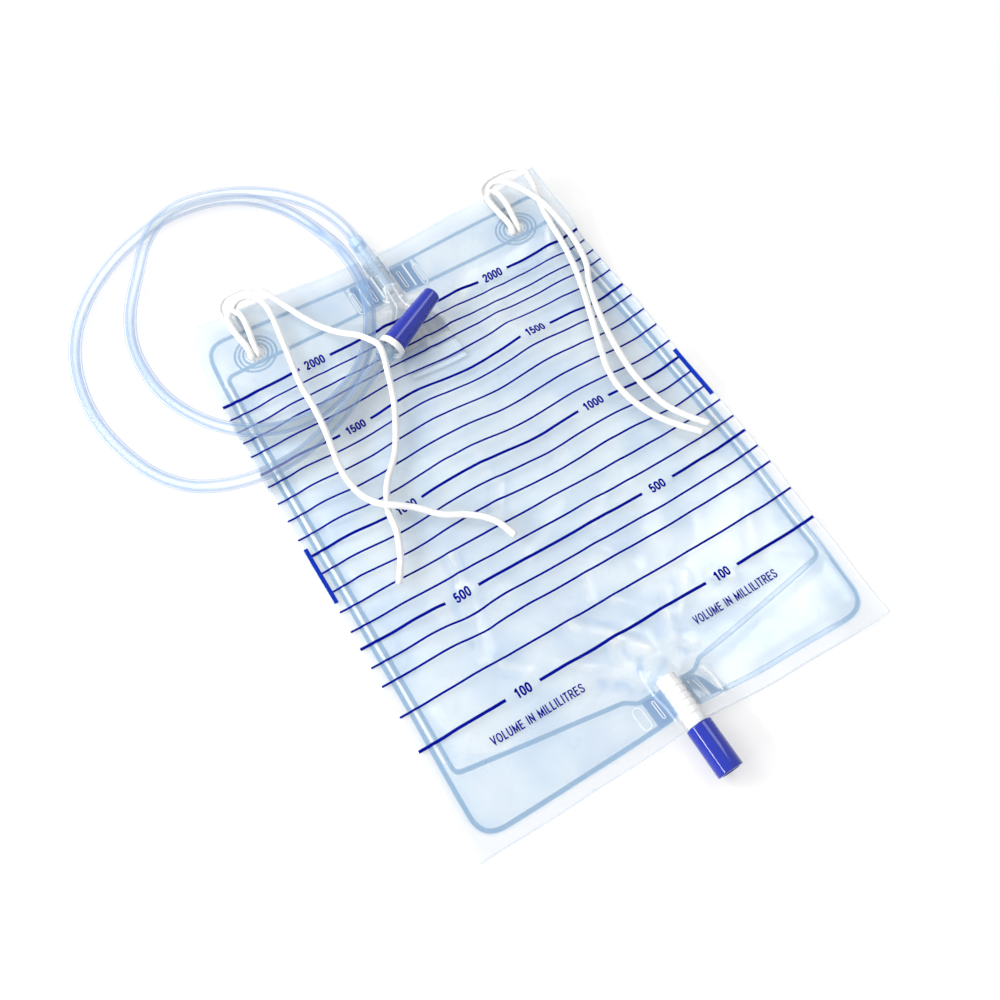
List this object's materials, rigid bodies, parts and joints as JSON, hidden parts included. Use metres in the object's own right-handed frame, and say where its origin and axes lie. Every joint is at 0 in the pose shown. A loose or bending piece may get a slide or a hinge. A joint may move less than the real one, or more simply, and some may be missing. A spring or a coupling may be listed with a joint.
{
  "type": "urine drainage bag",
  "caption": "Flat clear film collection bag with a coiled inlet tube, capped connector, flap valve, push-pull outlet, hanging cords and a printed volume scale.",
  "frame": {"origin": "middle of the bag's width, half way between the inlet port's outer end and the outlet sleeve's end, at the underside of the rear sheet, cords left out", "axes": "+X to the right as the printed side is seen with the hanging edge up, +Y from the outlet towards the hanging edge, +Z out of the printed front"},
  "size_m": [0.2689, 0.4057, 0.0197],
  "materials": {
    "clear_film": "glossy",
    "welded_film": "glossy",
    "navy_ink": "printed",
    "blue_ink": "printed",
    "valve_film": "glossy",
    "clear_tube": "glossy",
    "clear_port": "glossy",
    "white_plastic": "satin",
    "blue_plastic": "glossy",
    "seal_rubber": "matte",
    "white_cord": "knitted"
  },
  "bodies": {
    "bag": {"front_film": "clear_film", "rear_film": "clear_film", "inlet_port": "clear_port", "valve_front_leaf": "valve_film", "valve_rear_leaf": "valve_film", "inlet_tube": "clear_tube", "tube_connector": "white_plastic", "outlet_spout": "white_plastic", "outlet_seal_rear": "seal_rubber", "outlet_seal_tip": "seal_rubber", "hanging_cord_left": "white_cord", "hanging_cord_right": "white_cord"},
    "cap": {"connector_cap": "blue_plastic"},
    "sleeve": {"outlet_sleeve": "blue_plastic"}
  },
  "joints": [
    {"name": "cap_pull", "type": "slide", "parent": "bag", "child": "cap", "axis": [0.8898, 0.4534, 0.0523], "range_m": [0, 0.034]},
    {"name": "outlet_slide", "type": "slide", "parent": "bag", "child": "sleeve", "axis": [0, -1, 0], "range_m": [0, 0.008]}
  ]
}
